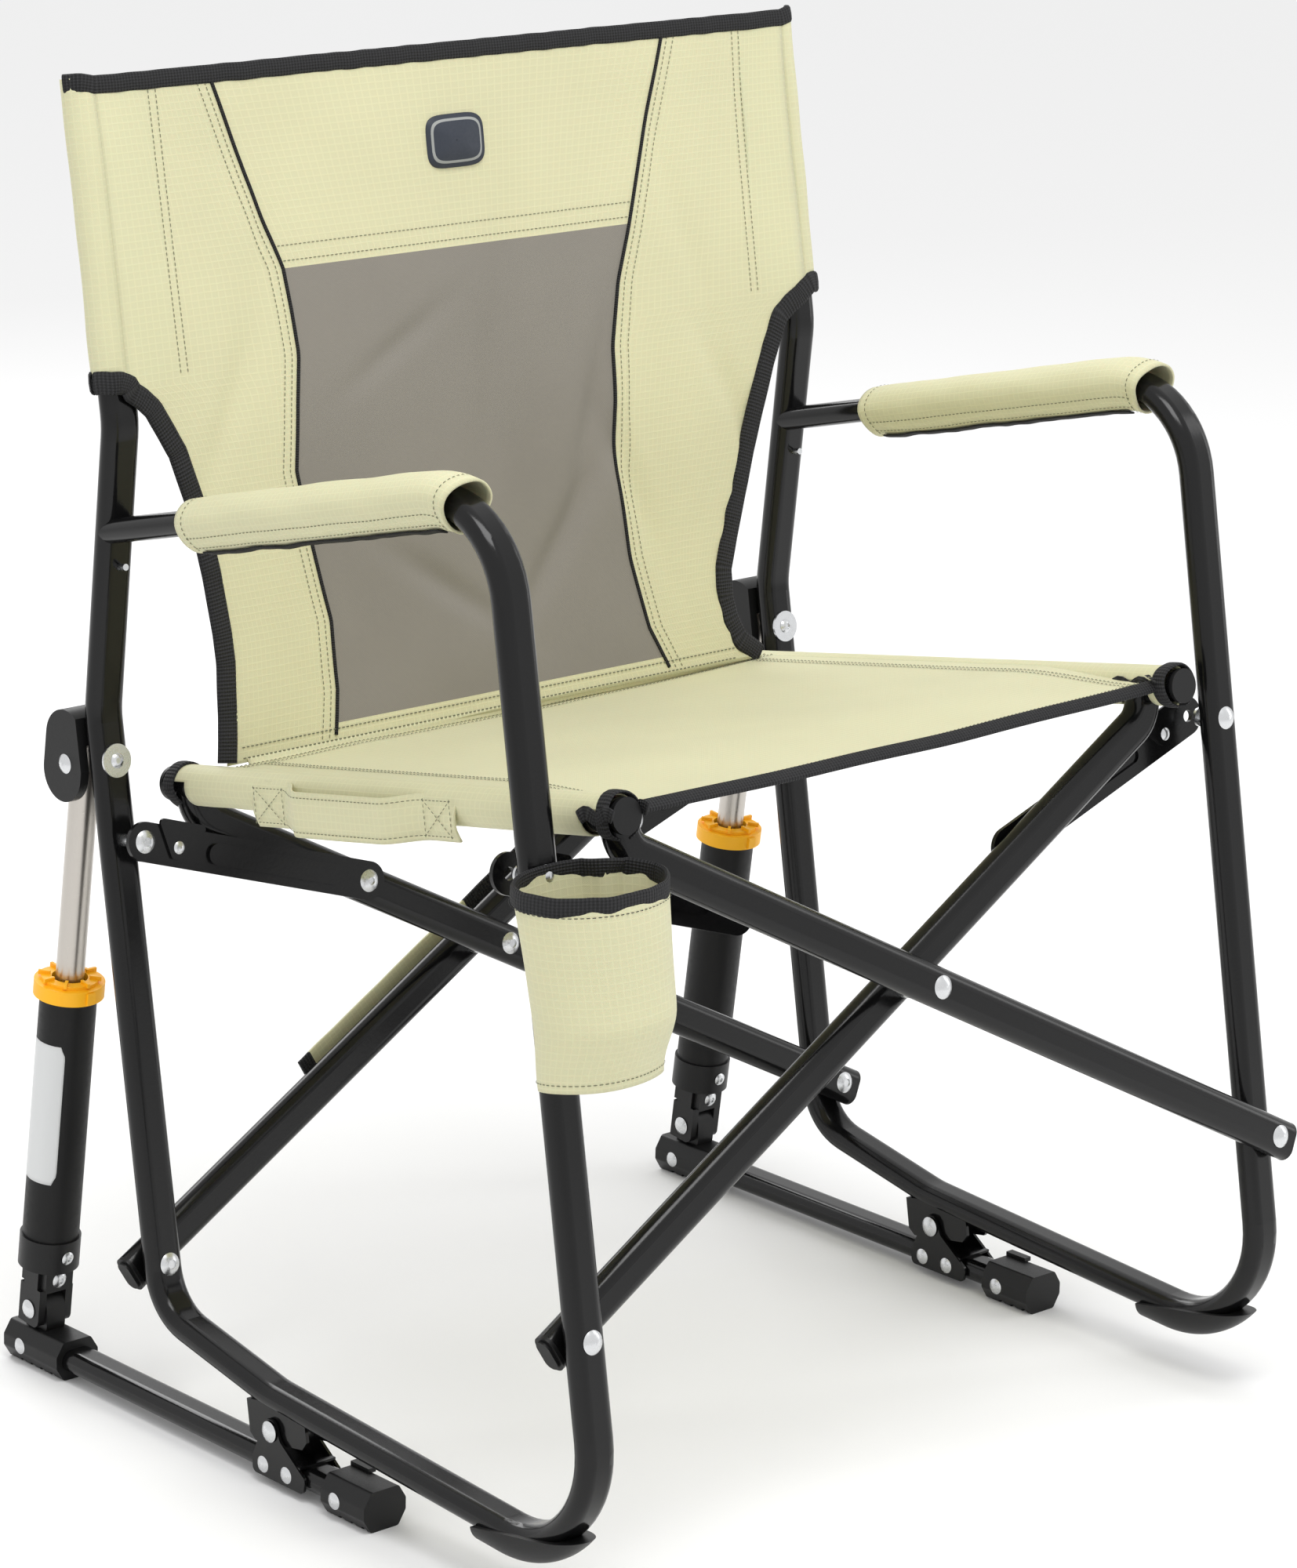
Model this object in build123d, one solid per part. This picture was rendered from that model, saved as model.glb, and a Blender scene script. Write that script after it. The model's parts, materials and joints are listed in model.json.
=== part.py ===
"""Folding camp rocking chair: two bent side frames, a double scissor, sprung shocks and two floor rails.

The upper chair is drawn upright about the rocking pivot (0, 0) and then leaned back by rest_tilt.
The rails and shocks are drawn in the chair's own frame: +X right, -Y front, +Z up, floor at Z = 0.
"""

import os
from math import atan2, cos, degrees, radians, sin, tan

from build123d import *

os.makedirs("parts", exist_ok=True)

# Driving dimensions, millimetres and degrees
half_width = 297.0  # centre plane of each side frame
rest_tilt = 10.0  # how far the unloaded chair leans back
pivot_y = 10.0  # rocking pivot in the chair's frame
pivot_z = 38.0
tube_w = 26.0  # flat-oval tube, wide side
tube_t = 16.0  # flat-oval tube, thin side
wall = 1.4
post_y = 118.0  # rear post, upright frame
leg_y = -300.0  # front leg, upright frame
upper_y = 66.5  # back post above the second bend
post_bend_z = 457.0
upper_bend_z = 642.0
post_top_z = 850.0
scissor_z = 93.0  # lower scissor pivots
scissor_rise = 158.0  # from the lower pivots to the crossing
front_step = 17.3  # from a front leg's centre to its scissor leg's, washer included
rear_step = 19.0  # the same at the rear posts
seat_x = 249.0
seat_z = 402.0
seat_r = 11.0
leg_middle_z = 300.0
arm_front_z = 601.6
arm_drop = 0.0707  # fall of the arm towards the post
link_z = 373.0  # side-frame end of the links
link_leg_x = 119.0  # leg end of the links
link_leg_z = 315.7
link_t = 3.0
rivet_r = 4.0
pin_play = 0.05
rail_w = 25.0
rail_t = 15.0
rail_z = 13.5
rail_front = -68.0
rail_rear = 286.0
shock_y = 272.0  # lower shock pin
shock_z = 41.0
shock_len = 393.0  # lower pin to upper pin
shock_tilt = 7.0
joint_z = 24.0  # second pin of the universal joint, above the lower pin
bracket_rivets_y = (17.0, -6.5)
cap_rivet_y = -57.3
casting_rivet_y = 278.0
mount_bolt_z = 425.0  # bolt of the shock mount through the rear post
mount_screw_z = 551.0
leg_overhang = 12.5  # scissor leg beyond its lower pivot
cloth = 1.6
seat_back_y = 69.0
middle_x = -13.25  # centre of the whole chair's footprint, cup holder included
middle_y = -7.43

tilt = radians(rest_tilt)
leg_slope = atan2(scissor_rise, half_width)


def save(name, shape):
    """Write one sub-part, one solid or a group of them, with the origin under the chair's middle."""
    items = shape if isinstance(shape, list) else [shape]
    solids = [Pos(-middle_x, -middle_y, 0) * s for item in items for s in item.solids()]
    export_step(Compound(children=solids) if len(solids) > 1 else solids[0], f"parts/{name}.step")


def lean(shape):
    """Move a shape from the upright frame to the chair's frame."""
    return Pos(0, pivot_y, pivot_z) * Rot(-rest_tilt, 0, 0) * shape


def save_upright(name, shape):
    """Write a sub-part that was drawn in the upright frame."""
    items = shape if isinstance(shape, list) else [shape]
    save(name, [lean(item) for item in items])


def rounded_path(points, radii):
    """A wire through the points with each inner corner rounded to its radius."""
    edges = []
    start = Vector(*points[0])
    for before, corner, after, r in zip(points, points[1:], points[2:], radii):
        c = Vector(*corner)
        to_before = (Vector(*before) - c).normalized()
        to_after = (Vector(*after) - c).normalized()
        half = radians(to_before.get_angle(to_after)) / 2
        reach = r / tan(half)
        bisector = (to_before + to_after).normalized()
        first = c + to_before * reach
        last = c + to_after * reach
        middle = c + bisector * (r / sin(half) - r)
        edges.append(Line(start, first))
        edges.append(ThreePointArc(first, middle, last))
        start = last
    edges.append(Line(start, Vector(*points[-1])))
    return Wire(edges)


def swept_oval(path, width_dir, w, t):
    """A solid flat-oval bar along a path; width_dir is the direction of its wide side."""
    plane = Plane(origin=path @ 0, x_dir=width_dir, z_dir=path % 0)
    return sweep(plane * SlotOverall(w, t), path=path)


def oval_tube(path, width_dir, w=tube_w, t=tube_t):
    """A hollow flat-oval tube along a path."""
    return swept_oval(path, width_dir, w, t) - swept_oval(path, width_dir, w - 2 * wall, t - 2 * wall)


def peg(start, direction, length, r=rivet_r):
    """A plain round bar from a point along a direction."""
    return Plane(origin=start, z_dir=direction) * Pos(0, 0, length / 2) * Cylinder(r, length)


def rivet(start, direction, grip, r=rivet_r, head_r=7.5, head_h=3.0, foot=True, socket=0.0):
    """A rivet: domed head at start, shank along direction for grip; socket is the radius of a recess."""
    plane = Plane(origin=start, z_dir=direction)
    dome_r = (head_r**2 + head_h**2) / (2 * head_h)
    dome = Pos(0, 0, dome_r - head_h) * Sphere(dome_r)
    head = dome & (Pos(0, 0, -head_h / 2) * Box(3 * head_r, 3 * head_r, head_h))
    body = head + Pos(0, 0, grip / 2) * Cylinder(r, grip)
    if foot:
        body += Pos(0, 0, grip + 1) * Cylinder(head_r - 1, 2)
    if socket:
        body -= Pos(0, 0, -head_h) * Cylinder(socket, 2.4)
    return plane * body


# Side frames ---------------------------------------------------------------


def post_path(x):
    """The bent tube from the back post's top, round the base and half way up the front leg."""
    lower_y = 9.8
    lower_z = 20.6
    post_foot_z = 62.0
    toe_z = -53.4
    points = [
        (x, upper_y, post_top_z),
        (x, upper_y, upper_bend_z),
        (x, post_y, post_bend_z),
        (x, post_y, post_foot_z),
        (x, lower_y, lower_z),
        (x, leg_y, toe_z),
        (x, leg_y, leg_middle_z),
    ]
    return rounded_path(points, [60, 50, 40, 80, 68])


def arm_path(x, start_z, end_y):
    """The rest of the tube: up the front leg, over its bend and back along the arm."""
    end_z = arm_front_z - (end_y - leg_y) * arm_drop
    return rounded_path([(x, leg_y, start_z), (x, leg_y, arm_front_z), (x, end_y, end_z)], [62])


def side_frame(x):
    """One side frame, its arm welded to the front of the post, with holes for its pivots."""
    post = oval_tube(post_path(x), (1, 0, 0))
    arm = oval_tube(arm_path(x, leg_middle_z, 88), (1, 0, 0))
    arm -= swept_oval(post_path(x), (1, 0, 0), tube_w, tube_t)
    frame = post + max(arm.solids(), key=lambda s: s.volume)
    for y in (leg_y, post_y):
        frame -= peg((x, y - 20, scissor_z), (0, 1, 0), 40, rivet_r + pin_play)
        frame -= peg((x, y - 20, link_z), (0, 1, 0), 40)
    frame -= peg((x, post_y - 20, mount_bolt_z), (0, 1, 0), 40)
    frame -= peg((x, 80, mount_screw_z), (0, 1, 0), 30, 2.2)
    return frame


def front_foot(x):
    """Ribbed plastic skid clipped round the toe bend, its upper side open."""
    toe = rounded_path([(x, -196, -28.6), (x, leg_y, -53.4), (x, leg_y, 20)], [68])
    shell = swept_oval(toe, (1, 0, 0), tube_w + 8, tube_t + 17)
    shell -= swept_oval(toe, (1, 0, 0), tube_w + 0.2, tube_t + 0.2)
    keep = Pos(x, -250, -62) * Box(60, 150, 60)
    skid = shell & keep
    for step in range(6):
        skid -= Pos(x, -284 + 13 * step, -73.5 + 3.1 * step) * Box(60, 4, 5)
    return max(skid.solids(), key=lambda s: s.volume)


def rocker_saddle(x):
    """Channel welded under the lower tube, whose cheeks carry the rocking pin."""
    outer = Pos(x, -4, 6) * Box(24, 58, 30)
    inner = Pos(x, -4, -1) * Box(19, 60, 30)
    saddle = outer - inner
    saddle -= swept_oval(post_path(x), (1, 0, 0), tube_w, tube_t)
    saddle -= peg((x - 20, 0, 0), (1, 0, 0), 40)
    saddle -= Pos(x, -4, 40) * Box(40, 90, 44)
    for y in (-38, 30):
        saddle -= Pos(x, y, -16) * Rot(45, 0, 0) * Box(40, 24, 24)
    return max(saddle.solids(), key=lambda s: s.volume)


def frame_fasteners(x):
    """Rocking pin, shock-mount bolt with washer, link rivets and small screws of one side frame."""
    pin = rivet((x - 16, 0, 0), (1, 0, 0), 32, head_r=7, head_h=2.6)
    bolt_start = (x, post_y - 9.8, mount_bolt_z)
    bolt = rivet(bolt_start, (0, 1, 0), 17.8, head_r=5, head_h=2.4, foot=False, socket=2.2)
    washer_plane = Plane(origin=(x, post_y - 8.9, mount_bolt_z), z_dir=(0, 1, 0))
    washer = washer_plane * (Cylinder(11, 1.6) - Cylinder(rivet_r, 2))
    small = peg((x, 76.6, mount_screw_z), (0, 1, 0), 10, 2.2)
    front = rivet((x, leg_y - 8.1, link_z), (0, 1, 0), tube_t + 5.6)
    rear_grip = tube_t / 2 + rear_step + 3.8
    rear = rivet((x, post_y - rear_grip, link_z), (0, 1, 0), rear_grip, foot=False, socket=3)
    return [pin, bolt, washer, small, front, rear]


def shock_mount(x):
    """Plastic dome behind the post; two cheeks carry the rod's pin."""
    outline = Plane.YZ * (Pos(226, 436) * SlotOverall(62, 40, rotation=97))
    block = extrude(outline, amount=17, both=True)
    block -= lean(Pos(0, post_y - 32, mount_bolt_z) * Box(60, 80, 260))
    block -= Pos(0, 226, 424) * Box(21, 60, 42)
    block -= Pos(0, 232, 446) * Rot(7, 0, 0) * Box(21, 30, 24)
    solid = Pos(x, 0, 0) * block
    pin = peg((x - 30, shock_top_y, shock_top_z), (1, 0, 0), 60)
    return max((solid - pin).solids(), key=lambda s: s.volume)


def arm_sleeve(x):
    """Padded fabric sleeve round the arm and the start of its front bend."""
    path = arm_path(x, 500, 2)
    sleeve = swept_oval(path, (1, 0, 0), 40, 33) - swept_oval(path, (1, 0, 0), tube_w + 0.6, tube_t + 0.6)
    return sleeve & (Pos(x, -134, 620) * Rot(-12, 0, 0) * Box(80, 270, 120))


def cup_section(z, half_x, half_y, grow, tip=0.0):
    """A horizontal oval of the cup holder, tipped forwards by an angle."""
    centre_y = leg_y - tube_t / 2 - 0.6 - half_y
    return Plane((-half_width + 1, centre_y, z)) * (Rot(tip, 0, 0) * Ellipse(half_x + grow, half_y + grow))


def cup_body(grow, floor_z, mouth_z):
    """The cup holder's outline as a solid, dented where the scissor leg presses on it."""
    body = loft([cup_section(floor_z, 43, 31, grow), cup_section(mouth_z, 51, 37, grow, rest_tilt)])
    dent = Box(100, 100, 400)
    edge_x = -half_width + 28 + grow * 2
    edge_y = leg_y - front_step - tube_t / 2 - 0.8 + grow * 2
    return body - Pos(edge_x + 50, edge_y + 50, 330) * dent


def cup_holder():
    """Fabric cup pocket on the front of the left leg, open at the top."""
    pocket = cup_body(0, 254, 372) - cup_body(-cloth, 254 + cloth, 372.6)
    return pocket - peg((-half_width, leg_y - 16, link_z), (0, 1, 0), 30, 8.5)


# Scissor legs and seat tubes ------------------------------------------------


def scissor_leg(y, side):
    """A flat-oval leg from its lower pivot at -side to the seat tube at +side."""
    dx = cos(leg_slope) * side
    dz = sin(leg_slope)
    top_x = (seat_x - 6) * side
    top_z = scissor_z + (half_width + seat_x - 6) * tan(leg_slope)
    points = [
        (-half_width * side - dx * leg_overhang, y, scissor_z - dz * leg_overhang),
        (top_x, y, top_z),
        (top_x + 4 * side, y, seat_z),
    ]
    path = rounded_path(points, [22])
    leg = oval_tube(path, (dz, 0, -dx))
    leg -= peg((seat_x * side, y - 30, seat_z), (0, 1, 0), 60, seat_r)
    leg -= peg((-half_width * side, y - 20, scissor_z), (0, 1, 0), 40)
    play = pin_play if side > 0 else 0
    leg -= peg((0, y - 20, scissor_z + scissor_rise), (0, 1, 0), 40, rivet_r + play)
    return max(leg.solids(), key=lambda s: s.volume)


def leg_cap(y, side):
    """Plastic plug in the lower end of a scissor leg."""
    dx = cos(leg_slope) * side
    dz = sin(leg_slope)
    end = Vector(-half_width * side - dx * leg_overhang, y, scissor_z - dz * leg_overhang)
    plane = Plane(origin=end, x_dir=(dz, 0, -dx), z_dir=(-dx, 0, -dz))
    cap = extrude(plane * SlotOverall(tube_w, tube_t), amount=2.5)
    cap += extrude(plane * SlotOverall(tube_w - 5, tube_t - 5), amount=4.5)
    return cap + extrude(plane * SlotOverall(tube_w - 2 * wall - 0.1, tube_t - 2 * wall - 0.1), amount=-6)


def seat_tube(side):
    """Straight round tube under each side of the seat."""
    front, rear = seat_span[side]
    length = rear - front
    tube = Cylinder(seat_r, length) - Cylinder(seat_r - wall, length)
    return Plane(origin=(seat_x * side, (front + rear) / 2, seat_z), z_dir=(0, 1, 0)) * tube


def seat_cap(side, front):
    """Round plastic plug in one end of a seat tube."""
    y = seat_span[side][0 if front else 1]
    plane = Plane(origin=(seat_x * side, y, seat_z), z_dir=(0, -1 if front else 1, 0))
    dome = Pos(0, 0, 1.5) * Cylinder(seat_r + 0.4, 3) + Pos(0, 0, -5) * Cylinder(seat_r - wall - 0.05, 10)
    return plane * dome


def cross_spacer(y, step):
    """Bush that keeps the two legs of a scissor apart at their crossing."""
    gap = 2 * step - tube_t - 0.1
    bush = Cylinder(9, gap) - Cylinder(rivet_r, gap)
    return Plane(origin=(0, y, scissor_z + scissor_rise), z_dir=(0, 1, 0)) * bush


def leg_rivets(side):
    """Lower pivot rivets of one leg pair; the leading pair also carries the crossing rivets."""
    items = []
    for y, step in ((leg_y, front_step), (post_y, rear_step)):
        socket = 3 if y > 0 else 0
        front_face = y - tube_t / 2 - (step if side < 0 else 0)
        lower = (-half_width * side, front_face - 0.3, scissor_z)
        items.append(rivet(lower, (0, 1, 0), tube_t + step + 0.6, socket=socket))
        if side < 0:
            crossing = (0, y - step - tube_t / 2 - 0.1, scissor_z + scissor_rise)
            items.append(rivet(crossing, (0, 1, 0), tube_t + 2 * step + 0.2, socket=socket))
    return items


# Links ------------------------------------------------------------------------


def link_plane_y(front):
    """Centre of the link's layer: behind both legs at the front, ahead of both at the rear."""
    return leg_y + front_step + tube_t / 2 + 2.2 if front else post_y - rear_step - tube_t / 2 - 2.2


def link_bar(side, front):
    """Stamped link with a long embossed rib, from the side frame in to the leg."""
    y = link_plane_y(front)
    outer = Vector(half_width * side, y, link_z)
    inner = Vector(link_leg_x * side, y, link_leg_z)
    along = (inner - outer).normalized()
    length = (inner - outer).length
    face = -1 if not front else 1
    plane = Plane(origin=(outer + inner) * 0.5, x_dir=along, z_dir=(0, face, 0))
    bar = extrude(plane * SlotOverall(length + 26, 26), amount=link_t / 2, both=True)
    rib = extrude(plane * (Pos(14, 0) * SlotOverall(length - 74, 14)), amount=link_t / 2 + 2.2)
    groove = extrude(plane * (Pos(14, 0) * SlotOverall(length - 78, 10)), amount=-link_t / 2 - 0.1)
    bar += rib
    bar -= groove
    bar -= peg(outer - Vector(0, 20, 0), (0, 1, 0), 40, rivet_r + pin_play)
    bar -= peg(inner - Vector(0, 20, 0), (0, 1, 0), 40, 3.5)
    return bar - peg(lock_point(side, front) - Vector(0, 20, 0), (0, 1, 0), 40, 2.5)


def lock_point(side, front):
    """Rivet of the small lock plate, a seventh of the way along the link."""
    y = link_plane_y(front)
    outer = Vector(half_width * side, y, link_z)
    inner = Vector(link_leg_x * side, y, link_leg_z)
    return outer + (inner - outer) * 0.14


def lock_plate(side, front):
    """Small triangular plate riveted to the link."""
    point = lock_point(side, front)
    outline = make_face(Polyline((-20, 17), (22, 17), (4, -8), (-4, -8), close=True))
    outline = fillet(outline.vertices(), 3)
    along = (link_leg_x - half_width) * side
    lean_angle = degrees(atan2(link_leg_z - link_z, abs(along)))
    plane = Plane(origin=(point.X, point.Y - link_t / 2, point.Z), x_dir=(1, 0, 0), z_dir=(0, -1, 0))
    turn = lean_angle * (1 if along > 0 else -1)
    plate = extrude(plane * (Rot(0, 0, turn) * outline), amount=1.8)
    return plate - peg(point - Vector(0, 20, 0), (0, 1, 0), 40, 2.5)


def link_rivets(side):
    """Lock plate rivets and the stub rivets at the leg ends of one side's links."""
    items = []
    for front in (True, False):
        y = link_plane_y(front)
        point = lock_point(side, front)
        lock = (point.X, y - 3.4, point.Z)
        items.append(rivet(lock, (0, 1, 0), 5.0, r=2.5, head_r=4.2, head_h=1.6, foot=False))
        stub = (link_leg_x * side, y - link_t / 2 - 0.1, link_leg_z)
        if front:
            items.append(peg(stub, (0, 1, 0), link_t + 2.2, 3.5))
        else:
            items.append(rivet(stub, (0, 1, 0), link_t, r=3.5, foot=False, socket=2.6))
    return items


# Rails, rocker brackets and shocks ---------------------------------------------


def rail(x):
    """Flat-oval floor tube."""
    path = Wire([Line((x, rail_front, rail_z), (x, rail_rear, rail_z))])
    tube = oval_tube(path, (1, 0, 0), rail_w, rail_t)
    for y in (*bracket_rivets_y, cap_rivet_y, casting_rivet_y):
        tube -= peg((x - 20, y, rail_z), (1, 0, 0), 40, 3)
    return tube


def rail_block(x, front_y, rear_y):
    """Rounded block that ends a rail, its underside ridged."""
    section = Plane(origin=(x, rear_y, rail_z), x_dir=(1, 0, 0), z_dir=(0, -1, 0))
    corners = [(-17, -4), (-11, -13.5), (11, -13.5), (17, -4), (17, 4), (11, 13.5), (-11, 13.5), (-17, 4)]
    outline = fillet(Polygon(*corners).vertices(), 3)
    block = extrude(section * outline, amount=rear_y - front_y)
    count = int((rear_y - front_y - 10) / 11)
    for step in range(count):
        block -= Pos(x, rear_y - 15 - 11 * step, 0) * Cylinder(3.0, 60, rotation=(0, 90, 0))
    return block


def rear_casting(x):
    """Plastic casting at the back of a rail, with the lug for the shock's lower pin."""
    block = rail_block(x, 236, 296)
    path = Wire([Line((x, 235, rail_z), (x, rail_rear, rail_z))])
    block -= swept_oval(path, (1, 0, 0), rail_w, rail_t)
    lug = extrude(Plane.YZ * (Pos(shock_y, 37) * SlotOverall(34, 24, rotation=90)), amount=7.5, both=True)
    block += Pos(x, 0, 0) * (lug - Pos(0, shock_y, 11.02) * Box(40, 60, 20))
    block -= peg((x - 30, shock_y, shock_z), (1, 0, 0), 60)
    return block - peg((x - 30, casting_rivet_y, rail_z), (1, 0, 0), 60, 3)


def front_cap(x):
    """Plastic cap on the front of a rail, with a small lift tab."""
    block = rail_block(x, -87, -44)
    path = Wire([Line((x, rail_front, rail_z), (x, -40, rail_z))])
    block -= swept_oval(path, (1, 0, 0), rail_w, rail_t)
    block += Pos(x + 11, -52, 28) * Box(6, 18, 3)
    return block - peg((x - 30, cap_rivet_y, rail_z), (1, 0, 0), 60, 3)


def rocker_bracket(x):
    """Folded steel bracket over the rail; its plates hold the rocking pin."""
    outline = make_face(
        Polyline((-24, 6), (27, 6), (28, 16), (20, 34), (14, 46), (6, 46), (0, 34), (-26, 16), close=True)
    )
    plate = fillet(outline.vertices(), 4)
    body = extrude(Plane.YZ * plate, amount=15, both=True)
    body -= Pos(0, 0, 30) * Box(26.0, 80, 60)
    strap = Pos(0, -1, 21.9) * Box(29, 38, 1.6)
    body = Pos(x, 0, 0) * (body + strap)
    body -= peg((x - 30, pivot_y, pivot_z), (1, 0, 0), 60, rivet_r + pin_play)
    for y in bracket_rivets_y:
        body -= peg((x - 30, y, rail_z), (1, 0, 0), 60, 3)
    return body


def base_rivets(x):
    """Rivets of one rail's bracket and end blocks, and the shock's lower pin."""
    items = []
    for y, grip in [(y, 30.1) for y in bracket_rivets_y] + [(cap_rivet_y, 34.1), (casting_rivet_y, 34.1)]:
        items.append(rivet((x - grip / 2, y, rail_z), (1, 0, 0), grip, r=3, head_r=5.5, head_h=2.2))
    items.append(rivet((x - 14.1, shock_y, shock_z), (1, 0, 0), 28.2, head_r=6.5, head_h=2.6))
    return items


def place_shock(shape, x):
    """Stand a shock part, drawn upright from its lower pin, at its place and lean."""
    return Pos(x, shock_y, shock_z) * Rot(shock_tilt, 0, 0) * shape


def shock_knuckle():
    """Cross piece of the lower universal joint: a fork over the casting, a tongue into the sleeve."""
    fork = Pos(0, 0, 3) * Box(27, 22, 28) - Pos(0, 0, 0) * Box(15.6, 30, 28.4)
    fork = fillet(fork.edges().filter_by(Axis.X).sort_by(Axis.Z)[:2], 6)
    body = fork + Pos(0, 0, 24) * Box(27, 15, 15)
    body -= peg((-20, 0, 0), (1, 0, 0), 40, rivet_r + pin_play)
    return body - peg((0, -20, joint_z), (0, 1, 0), 40, 3)


def shock_sleeve():
    """Lower cap of the cylinder, with two cheeks front and back of the knuckle's tongue."""
    cheeks = Pos(0, 0, 25) * Box(22, 27, 15.4) - Pos(0, 0, 21.8) * Box(40, 15.2, 20)
    cup = Pos(0, 0, 43) * Cylinder(20.5, 22) - Pos(0, 0, 45.2) * Cylinder(19, 22)
    body = cup + cheeks
    return body - peg((0, -20, joint_z), (0, 1, 0), 40, 3) - peg((0, -24, 43), (0, 1, 0), 10, 2)


def shock_cylinder():
    """Outer cylinder of the shock."""
    length = 228.0 - 34.2
    return Pos(0, 0, 34.2 + length / 2) * (Cylinder(19, length) - Cylinder(17, length))


def shock_collar():
    """Coloured collar at the mouth of the cylinder, with radial ribs and a small lug."""
    ring = Pos(0, 0, 233) * (Cylinder(23.5, 10) - Cylinder(12, 10))
    top = Pos(0, 0, 238.8) * (Cylinder(19, 3) - Cylinder(12, 3))
    collar = ring + top
    for turn in range(0, 360, 45):
        collar += Rot(0, 0, turn) * Pos(17, 0, 241) * Box(8, 2, 3)
    return collar + Pos(0, -22.5, 233) * Box(6, 5, 8)


def shock_screws():
    """Cross pin of the universal joint and the sleeve's clamp screw."""
    cross = rivet((0, -13.6, joint_z), (0, 1, 0), 27.2, r=3, head_r=5.5, head_h=2.2, socket=2)
    clamp = rivet((0, -20.7, 43), (0, 1, 0), 1.6, r=2, head_r=4.6, head_h=1.8, foot=False, socket=1.6)
    return [cross, clamp]


def shock_spring():
    """Compression spring that works inside the cylinder."""
    wire = Helix(pitch=10, height=70, radius=13.6)
    start = wire @ 0
    section = Plane(origin=start, z_dir=wire % 0) * Circle(1.2)
    return Pos(0, 0, 37) * sweep(section, path=wire, is_frenet=True)


def shock_rod():
    """Plated rod from inside the cylinder to its upper pin."""
    low = 118.0
    high = shock_len + 12
    rod = Pos(0, 0, (low + high) / 2) * (Cylinder(9.5, high - low) - Cylinder(8, high + 1 - low))
    piston = Pos(0, 0, low - 3) * Cylinder(15, 6)
    return rod + piston - peg((-20, 0, shock_len), (1, 0, 0), 40, rivet_r + pin_play)


# Soft parts ----------------------------------------------------------------------


def seat_sleeve(side):
    """Sleeve of the seat cloth round one seat tube, cut away below where the legs meet the tube."""
    front, rear = sleeve_span[side]
    inner = seat_r + 0.4
    ring = Cylinder(inner + cloth, rear - front) - Cylinder(inner, rear - front)
    sleeve = Plane(origin=(seat_x * side, (front + rear) / 2, seat_z), z_dir=(0, 1, 0)) * ring
    for y in (leg_y + front_step * side, post_y + rear_step * side):
        sleeve -= Pos(seat_x * side, y, seat_z - 18) * Box(60, tube_t + 9, 46)
    return max(sleeve.solids(), key=lambda s: s.volume)


def seat_sling():
    """Seat cloth: a flat sheet between two sleeves round the seat tubes."""
    top = seat_z + seat_r + 0.4
    sheet = make_face(
        Polyline(
            (-seat_x, -318), (seat_x, -302), (seat_x, seat_back_y + 9), (-seat_x, seat_back_y - 9), close=True
        )
    )
    return extrude(Pos(0, 0, top) * sheet, amount=cloth) + seat_sleeve(-1) + seat_sleeve(1)


def back_sling():
    """Back cloth: sleeves over both posts and a waisted sheet between them, down to the seat's rear seam."""
    gap = 0.4
    top_z = post_top_z + 12
    low_z = seat_z + seat_r + 2 * gap + cloth
    sheet_y = upper_y - tube_t / 2 - gap - cloth
    edge = [(half_width, top_z), (half_width, 672), (272, 655), (246, 590)]
    edge += [(233, 520), (232, 470), (243, low_z)]
    outline = make_face(Polyline(*edge, *[(-x, z) for x, z in reversed(edge)], close=True))
    front_view = extrude(Plane.XZ * outline, amount=200, both=True)
    profile = make_face(
        Polyline(
            (sheet_y, top_z), (sheet_y + cloth, top_z), (sheet_y + cloth, 640), (seat_back_y + 1, low_z),
            (seat_back_y + 1 - cloth, low_z), (sheet_y, 640), close=True,
        )
    )
    body = extrude(Plane.YZ * profile, amount=400, both=True) & front_view
    for side in (-1, 1):
        path = Wire([Line((half_width * side, upper_y, 672), (half_width * side, upper_y, top_z))])
        body += swept_oval(path, (1, 0, 0), tube_w + 2 * (gap + cloth), tube_t + 2 * (gap + cloth))
    for side in (-1, 1):
        path = Wire([Line((half_width * side, upper_y, 660), (half_width * side, upper_y, top_z - 3))])
        body -= swept_oval(path, (1, 0, 0), tube_w + 2 * gap, tube_t + 2 * gap)
    return body


def carry_handle():
    """Cloth carrying strap along the outside of the left seat sleeve, standing off it in the middle."""
    x = -seat_x - seat_r - 0.4 - cloth - 1.2
    z = 396
    points = [(x, 12, z), (x, -26, z), (x - 12, -52, z), (x - 12, -126, z), (x, -154, z), (x, -188, z)]
    path = rounded_path(points, [30, 30, 30, 30])
    plane = Plane(origin=path @ 0, x_dir=(0, 0, 1), z_dir=path % 0)
    return sweep(plane * Rectangle(29, cloth), path=path)


def leg_strap():
    """Slim cloth strap along the back of the rear leg."""
    dx, dz = cos(leg_slope), sin(leg_slope)
    along = (half_width - 24) / dx
    y = post_y + rear_step + tube_t / 2 + 5.2
    plane = Plane(
        origin=(-half_width + dx * along - dz * 4, y, scissor_z + dz * along + dx * 4),
        x_dir=(dx, 0, dz),
        z_dir=(0, 1, 0),
    )
    return extrude(plane * RectangleRounded(258, 28, 5), amount=1.5, both=True)


shock_lean = radians(shock_tilt)
shock_top_y = shock_y - shock_len * sin(shock_lean)
shock_top_z = shock_z + shock_len * cos(shock_lean)
seat_span = {
    -1: (leg_y - front_step - 9, post_y - rear_step + 14),
    1: (leg_y + front_step - 32, post_y + rear_step + 14),
}
sleeve_span = {side: (front + 6, rear - 12) for side, (front, rear) in seat_span.items()}


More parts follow.
